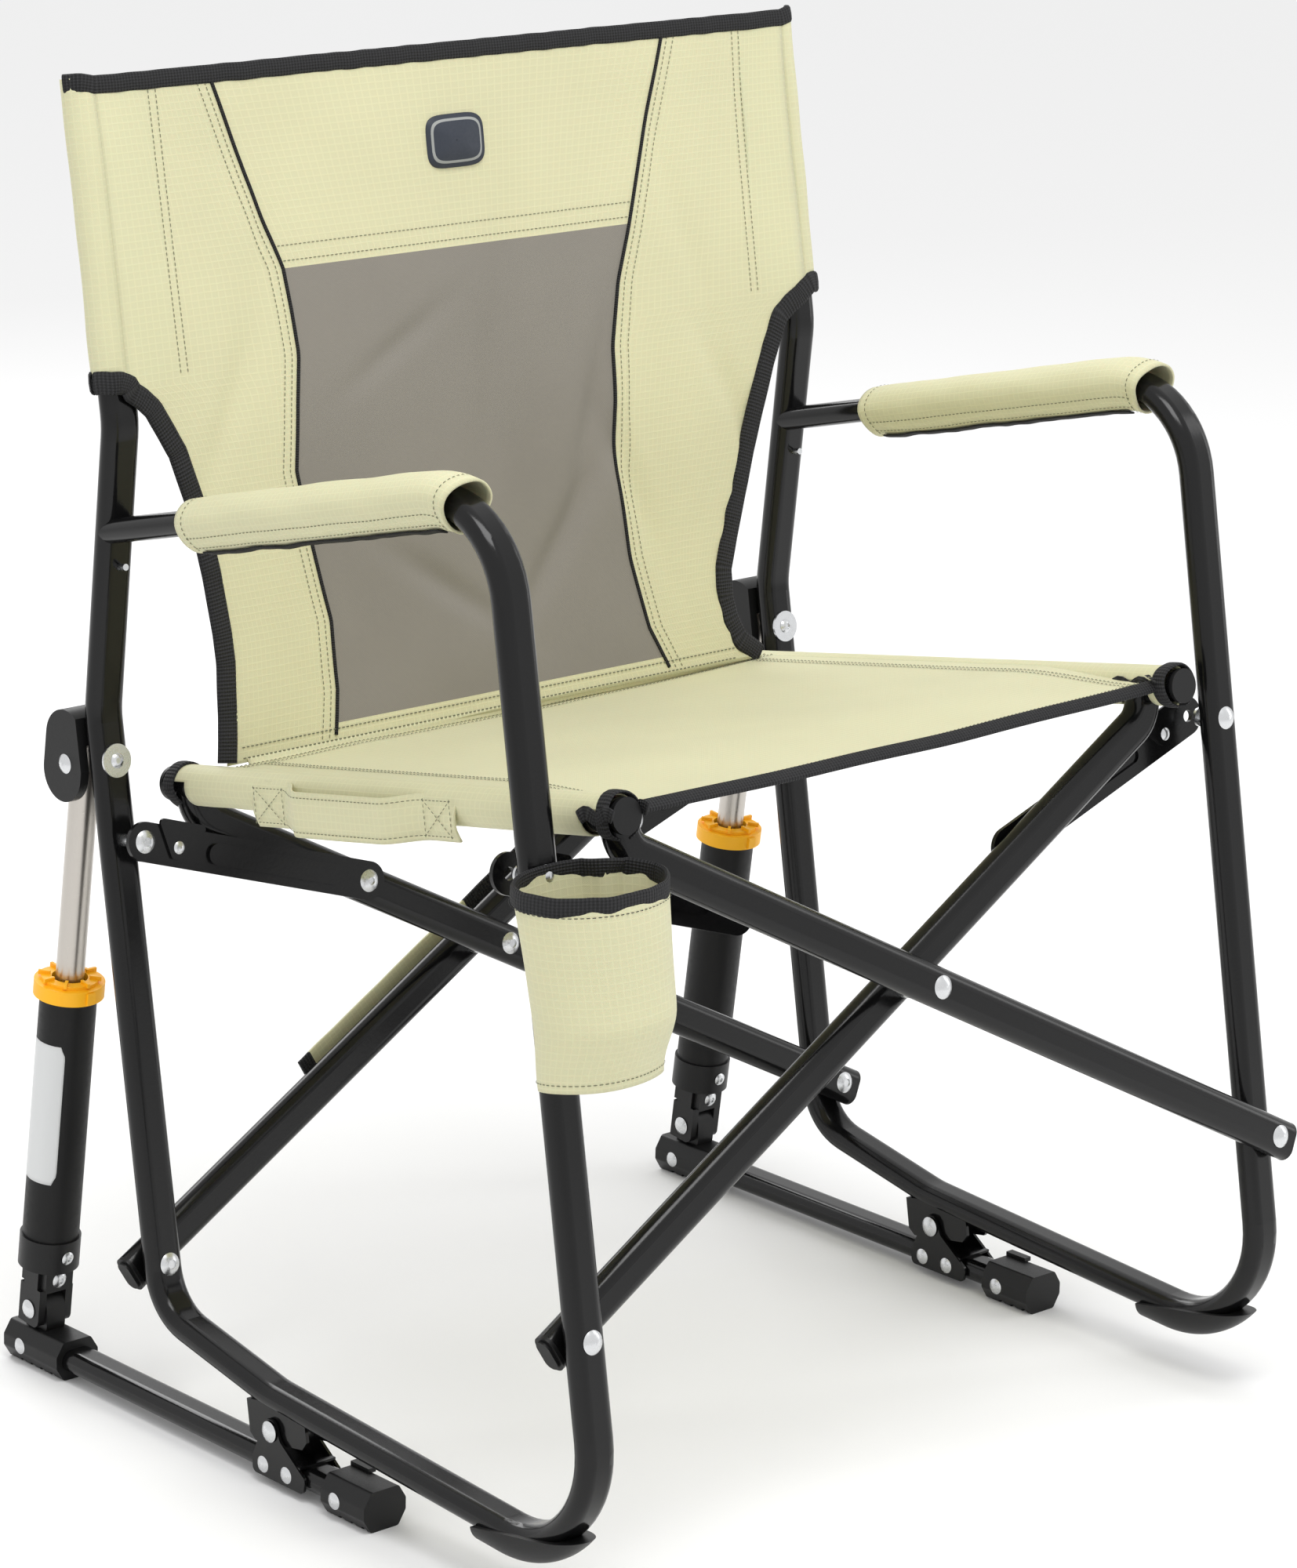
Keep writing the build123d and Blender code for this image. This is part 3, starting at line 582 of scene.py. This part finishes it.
def up_normal(p):
    return Vector((0, sin(LEAN), cos(LEAN)))


seat = Weft()
rows = []
for k in range(91):
    t = k / 90
    row = []
    for x in np.linspace(-1, 1, 121):
        y = seat_front(x * SEAT_X) + t * (seat_rear(x * SEAT_X) - seat_front(x * SEAT_X))
        row.append(seat_point(x * seat_edge(y), y))
    rows.append(row)
seat.grid(rows)
seam = []
for k in range(7):
    row = []
    for x in np.linspace(-226, 230, 101):
        rear = seat_point(x, seat_rear(x) - 1)
        turned_up = back_point(x, LOW_Z + 3, 0.3)
        t = k / 6
        low = Vector((0, 0, -0.0025 * sin(pi * t)))
        row.append(rear.lerp(turned_up, t) + low)
    seam.append(row)
seat.grid(seam)
ends = {-1: (-321, 102), 1: (-309, 138)}
legs = {-1: (-317.3, 99), 1: (-282.7, 137)}
for side in (-1, 1):
    y0, y1 = ends[side]
    ys = np.linspace(y0, y1, 111)
    angles = np.linspace(0, 2 * pi, 41)[:-1]
    rows = []
    for y in ys:
        ring = []
        for a in angles:
            loose = 0.5 * wobble(30 * cos(a), y, 30 * sin(a), 26, side) + 0.5
            near_top = max(0.0, sin(a)) ** 8
            r = SLEEVE_R + loose * (1 - near_top)
            ring.append(up(side * SEAT_X + r * cos(a), y, SEAT_Z + r * sin(a)))
        rows.append(ring)

    def kept(i, j, side=side, ys=ys, angles=angles):
        low = sin(angles[j] + pi / 40) < 0.25
        return not (low and any(abs((ys[i] + ys[i + 1]) / 2 - y) < 14 for y in legs[side]))

    seat.grid(rows, closed=True, keep=kept)
seat_obj = seat.build("seat_cloth", [cloth_mat], 0.9)

seat_trim = Weft()
front = [seat_point(x, seat_front(x) - 0.5, -1.0) for x in np.linspace(-SEAT_X + 9, SEAT_X - 9, 80)]
tape(seat_trim, front, lambda p: Vector((0, -sin(radians(35)), cos(radians(35)))), 9.5, 4.0, wave=0.4)
hem = [seat_point(x, seat_front(x) + 9, 0.6) for x in np.linspace(-SEAT_X + 14, SEAT_X - 14, 80)]
stitches(seat_trim, hem, up_normal, thick=0.9, mat=1)
for gap in (3.5, 11):
    rear_seam = [seat_point(x, seat_rear(x) - gap, 0.6) for x in np.linspace(-SEAT_X + 4, SEAT_X - 4, 80)]
    stitches(seat_trim, rear_seam, up_normal, thick=0.9, mat=1)
for side in (-1, 1):
    seam_ys = np.linspace(seat_front(side * 230) + 8, seat_rear(side * 230) - 12, 60)
    for gap in (24, 30):
        row = [seat_point(side * (SEAT_X - gap), y, 0.6) for y in seam_ys]
        stitches(seat_trim, row, up_normal, thick=0.9, mat=1)
    for y in ends[side]:
        turns = np.linspace(-pi * 0.42, pi * 1.42, 40)
        ring = [up(side * SEAT_X + 14.2 * cos(a), y, SEAT_Z + 14.2 * sin(a)) for a in turns]
        centre = up(side * SEAT_X, y, SEAT_Z)
        tape(seat_trim, ring, lambda p, c=centre: (p - c).normalized(), 11, 2.4, wave=1.2, seed=y)
    y_leg = legs[side][0]
    for x_side in (-1, 1):
        flap_x = side * SEAT_X + x_side * 14.0
        flap = [up(flap_x, y_leg - 15 + k * 3, SEAT_Z + 1.5 + 2.0 * sin(k)) for k in range(11)]
        tape(seat_trim, flap, (x_side, 0, 0), 9, 2.4, wave=0.8, seed=x_side)
    tack = up(side * (SEAT_X - 14), seat_front(side * SEAT_X) - 1, SEAT_TOP - 9)
    for k in range(4):
        near = tack + Vector((-side * 0.001 * k, -0.0035, 0.002))
        far = tack + Vector((-side * 0.001 * k, 0.003, 0.004))
        stitches(seat_trim, [near, far], (0, -0.6, 0.8), pitch=3, length=4, thick=0.9, mat=2)
seat_trim_obj = seat_trim.build("seat_trim", [webbing_mat, thread_mat, dark_thread_mat])

# Carry handle -------------------------------------------------------------------------


def handle_x(y):
    bulge = smooth(18, 48, -y) * (1 - smooth(128, 160, -y))
    return -SEAT_X - 15.2 - 11.5 * bulge


handle = Weft()
rows = []
for y in np.linspace(12, -188, 90):
    bulge = smooth(18, 48, -y) * (1 - smooth(128, 160, -y))
    line = []
    for k in range(13):
        t = k / 12
        z = SEAT_Z - 21 + 29 * t
        lean_in = 5.5 * max(0.0, abs(t - 0.45) - 0.12) ** 1.3 * (1 - bulge)
        line.append(up(handle_x(y) + 3.0 * lean_in + 0.5 * wobble(y, z, 0, 22, 4), y, z - 2 * bulge))
    rows.append(line)
handle.grid(rows)
handle_obj = handle.build("handle_cloth", [cloth_mat], 1.5)
handle_trim = Weft()
left_normal = Vector((-1, 0, 0))


def handle_point(y, z):
    bulge = smooth(18, 48, -y) * (1 - smooth(128, 160, -y))
    return up(handle_x(y) - 1.1, y, z - 2 * bulge)


for z in (SEAT_Z - 17.5, SEAT_Z + 4.5):
    stitches(handle_trim, [handle_point(y, z) for y in np.linspace(9, -185, 60)], left_normal)
for y0, y1 in ((9, -20), (-160, -185)):
    low, high = SEAT_Z - 17.5, SEAT_Z + 4.5
    sides = (((y0, low), (y0, high)), ((y1, low), (y1, high)))
    crosses = (((y0, low), (y1, high)), ((y0, high), (y1, low)))
    for a, b in (*sides, *crosses):
        stitches(handle_trim, [handle_point(*a), handle_point(*b)], left_normal)
handle_trim_obj = handle_trim.build("handle_trim", [thread_mat])

# Arm sleeves ----------------------------------------------------------------------------

ARM_Z = 601.6
ARM_DROP = 0.0707
BEND_R = 62.0


def arm_centre(s):
    """Point and direction along the arm, s in millimetres forwards from where the sleeve starts."""
    reach = BEND_R * np.tan((pi / 2 - atan2(ARM_DROP, 1.0)) / 2)
    drop = atan2(ARM_DROP, 1.0)
    y0 = -6.0
    straight = (y0 - (LEG_Y + reach * cos(drop))) / cos(drop)
    if s <= straight:
        y = y0 - s * cos(drop)
        return Vector((0, y, ARM_Z - (y - LEG_Y) * ARM_DROP)), Vector((0, -cos(drop), sin(drop)))
    a = (s - straight) / BEND_R
    start = Vector((0, LEG_Y + reach * cos(drop), ARM_Z - reach * cos(drop) * ARM_DROP))
    direction = Vector((0, -cos(drop), sin(drop)))
    down = Vector((0, -sin(drop), -cos(drop)))
    centre = start + down * BEND_R
    p = centre - down * (BEND_R * cos(a)) + direction * (BEND_R * sin(a))
    return p, direction * cos(a) + down * sin(a)


SLEEVE_LONG = 264.0
arm_objects = []
for side in (-1, 1):
    sleeve = Weft()
    rows = []
    count = 70
    for k in range(count + 1):
        s = SLEEVE_LONG * k / count
        p, d = arm_centre(s)
        above = Vector((0, d.z, -d.y))
        ring = []
        end = min(s, SLEEVE_LONG - s)
        for j in range(44):
            a = 2 * pi * j / 44
            puff = 1.4 + 0.6 * smooth(0, 25, end) + 1.0 * wobble(40 * cos(a), s, 40 * sin(a), 38, 2 + side)
            hang = 5.0 * max(0.0, -sin(a)) ** 2
            rx = 17.2 + puff
            rz = 12.8 + puff + hang
            q = p + Vector((1, 0, 0)) * (rx * cos(a)) + above * (rz * sin(a))
            ring.append(up(side * SIDE_X + q.x, q.y, q.z))
        rows.append(ring)
    sleeve.grid(rows, closed=True)
    obj = sleeve.build(("left" if side < 0 else "right") + "_arm_cloth", [cloth_mat], 1.6)
    detail = Weft()
    pivot_line = [up(side * SIDE_X, *arm_centre(SLEEVE_LONG * k / count)[0][1:]) for k in range(count + 1)]

    def outwards(p, line=pivot_line):
        near = min(line, key=lambda q: (q - p).length)
        return (p - near).normalized()

    for j in (26, 29):
        line = [rows[k][j] + outwards(rows[k][j]) * 0.0009 for k in range(2, count - 1)]
        stitches(detail, line, outwards)
    for k in (2, count - 2):
        ring = [rows[k][j] + outwards(rows[k][j]) * 0.0009 for j in range(44)] + [rows[k][0]]
        stitches(detail, ring, outwards)
    strip = [rows[k][31] + outwards(rows[k][31]) * 0.0018 for k in range(3, count - 3)]
    tape(detail, strip, outwards, 7, 1.6, wave=0.8, mat=1)
    detail_obj = detail.build(("left" if side < 0 else "right") + "_arm_stitches", [thread_mat, hook_mat])
    arm_objects.append((obj, detail_obj, "left" if side < 0 else "right"))

# Cup holder --------------------------------------------------------------------------------


def cup_point(a, t, out=0.0):
    """t runs from 0 at the flat bottom to 1 at the mouth."""
    half_x = 42.5 + 8.0 * t
    half_y = 27.5 + 9.0 * smooth(0, 0.35, t)
    crease = 1.5 * wobble(40 * cos(a), 130 * t * 0.5, 40 * sin(a), 28, 9.0) * smooth(0, 0.2, 1.05 - t)
    z_mid = 253 + 119 * t
    centre_y = LEG_Y - 9.8 - half_y
    x = (half_x + crease + out) * cos(a)
    y = (half_y + crease + out) * sin(a)
    z = z_mid + t * 0.176 * y + 2.0 * (1 - t) * abs(cos(a)) ** 3
    px = -SIDE_X + 1 + x
    py = centre_y + y
    limit = LEG_Y - 17.3 - 8 - 1.6
    if px > -SIDE_X + 24:
        py = min(py, limit + 17.0 * (1 - smooth(-SIDE_X + 20, -SIDE_X + 29, px)))
    return up(px, py, z)


cup = Weft()
rows = []
for k in range(41):
    t = k / 40
    rows.append([cup_point(2 * pi * j / 96, t) for j in range(96)])
cup.grid(rows, closed=True)
bottom = []
for k in range(1, 9):
    t = k / 8
    ring = []
    middle = sum((p for p in rows[0]), Vector()) / 96
    for p in rows[0]:
        q = p.lerp(middle, t)
        ring.append(q + Vector((0, 0, 0.002 * t)))
    bottom.append(ring)
cup.grid([rows[0]] + bottom, closed=True)
cup_obj = cup.build("cup_cloth", [cloth_mat], 1.0)
cup_trim = Weft()
cup_middle = up(-SIDE_X + 1, LEG_Y - 45, 366)


def cup_normal(p):
    out = p - cup_middle
    out.z = 0.0
    return out.normalized()


rim = []
for j in range(97):
    a = 2 * pi * j / 96
    rim.append(cup_point(a, 1.0) - Vector((0, 0, 0.0035)))
tape(cup_trim, rim, cup_normal, 12.5, 3.6, wave=1.0, seed=2.0, step=0.0022)
stitches(cup_trim, [p + cup_normal(p) * 0.0024 - Vector((0, 0, 0.005)) for p in rim], cup_normal, mat=2)
low = [cup_point(2 * pi * j / 96, 0.04, 0.6) for j in range(97)]
stitches(cup_trim, low, cup_normal, mat=1)
cup_trim_obj = cup_trim.build("cup_trim", [webbing_mat, thread_mat, dark_thread_mat])

# Leg strap ----------------------------------------------------------------------------------

strap = Weft()
SCISSOR_RISE = 158.0
CROSSING_Z = 251.0
STRAP_Y = 150.2
slope = atan2(SCISSOR_RISE, SIDE_X)
rows = []
for k in range(70):
    s = -129 + 258 * k / 69
    line = []
    for j in range(9):
        w = -13 + 26 * j / 8
        bow = 0.9 * wobble(s, w, 0, 24, 6.2)
        x = -24 + s * cos(slope) - (4 + w) * sin(slope)
        z = CROSSING_Z - 24 * 0.532 + s * sin(slope) + (4 + w) * cos(slope)
        line.append(up(x, STRAP_Y + bow, z))
    rows.append(line)
strap.grid(rows, pick=lambda i, j: 1 if i < 3 or i > 46 else 0)
strap_obj = strap.build("strap_cloth", [cloth_mat, webbing_mat], 2.2)

# Blank label on the left cylinder -------------------------------------------------------------

label = Weft()
SHOCK_Y = 272
SHOCK_Z = 41
LABEL_R = 19.15
LABEL_LOW = 97
LABEL_LONG = 100
shock_turn = radians(7)
rows = []
for k in range(33):
    s = LABEL_LOW + LABEL_LONG * k / 32
    end = min(s - LABEL_LOW, LABEL_LOW + LABEL_LONG - s)
    half = radians(48) - 0.16 * (1 - smooth(0, 9, end)) ** 1.5
    row = []
    for j in range(21):
        a = pi + 0.12 + half * (j / 10 - 1)
        x = -SIDE_X + LABEL_R * cos(a)
        y = LABEL_R * sin(a)
        row.append(
            Vector((
                (x + SHIFT_X) / 1000,
                (SHOCK_Y + y * cos(shock_turn) - s * sin(shock_turn) + SHIFT_Y) / 1000,
                (SHOCK_Z + y * sin(shock_turn) + s * cos(shock_turn)) / 1000,
            ))
        )
    rows.append(row)
label.grid(rows)
label_obj = label.build("left_cylinder_label", [label_mat], 0.12)

# Bodies ---------------------------------------------------------------------------------------

for obj in (back_obj, trim_obj, badge_obj):
    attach(obj, "left_frame")
    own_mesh(obj)
for obj in (seat_obj, seat_trim_obj):
    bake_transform(obj)
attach(handle_obj, "leg_b")
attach(handle_trim_obj, "leg_b")
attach(cup_obj, "left_frame")
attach(cup_trim_obj, "left_frame")
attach(strap_obj, "leg_a")
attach(label_obj, "left_cylinder")
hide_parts("back_sling")
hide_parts("seat_sling")
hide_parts("carry_handle")
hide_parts("cup_holder")
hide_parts("leg_strap")
for obj, detail_obj, name in arm_objects:
    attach(obj, name + "_frame")
    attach(detail_obj, name + "_frame")
    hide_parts(name + "_arm_sleeve")


# Stage ------------------------------------------------------------------------------------------

floor_mesh = bpy.data.meshes.new("floor")
floor_mesh.from_pydata([(-30, -30, 0), (30, -30, 0), (30, 30, 0), (-30, 30, 0)], [], [(0, 1, 2, 3)])
floor = bpy.data.objects.new("floor", floor_mesh)
bpy.context.collection.objects.link(floor)
floor_mat, _ = principled("floor", (0.90, 0.90, 0.90), 0.9, spec=0.0)
floor_mesh.materials.append(floor_mat)

world = bpy.data.worlds.new("studio")
bpy.context.scene.world = world
world.use_nodes = True
world.node_tree.nodes["Background"].inputs[0].default_value = (1, 1, 1, 1)
world.node_tree.nodes["Background"].inputs[1].default_value = 0.95


def area_light(name, place, target, size, power):
    light = bpy.data.lights.new(name, "AREA")
    light.shape = "RECTANGLE"
    light.size, light.size_y = size
    light.energy = power
    obj = bpy.data.objects.new(name, light)
    bpy.context.collection.objects.link(obj)
    obj.location = place
    obj.rotation_euler = (Vector(target) - Vector(place)).to_track_quat("-Z", "Y").to_euler()


middle = (0, 0, 0.45)
area_light("key", (-0.5, -0.95, 3.2), middle, (1.6, 1.2), 40)
area_light("fill", (2.6, -1.2, 1.4), middle, (0.7, 2.2), 8)
area_light("back", (0.6, 2.6, 2.0), middle, (1.8, 1.2), 25)

camera_data = bpy.data.cameras.new("camera")
camera = bpy.data.objects.new("camera", camera_data)
bpy.context.collection.objects.link(camera)
azimuth, elevation, roll = radians(-42.224), radians(13.799), radians(1.249)
backward = Vector((sin(azimuth) * cos(elevation), -cos(azimuth) * cos(elevation), sin(elevation)))
right = Vector((0, 0, 1)).cross(backward).normalized()
upward = backward.cross(right)
rolled_right = right * cos(roll) + upward * sin(roll)
rolled_up = -right * sin(roll) + upward * cos(roll)
turn = Matrix((rolled_right, rolled_up, backward)).transposed()
eye = Vector((-2.2795 + SHIFT_X / 1000, -2.4711 + SHIFT_Y / 1000, 1.3537))
camera.matrix_world = Matrix.Translation(eye) @ turn.to_4x4()
camera_data.sensor_fit = "HORIZONTAL"
camera_data.sensor_width = 36
camera_data.lens = 147.89
camera_data.shift_x = 0.0226
camera_data.shift_y = -0.1315
camera_data.clip_end = 100
bpy.context.scene.camera = camera
bpy.context.scene.view_settings.view_transform = "Standard"
bpy.context.scene.view_settings.exposure = 0.0
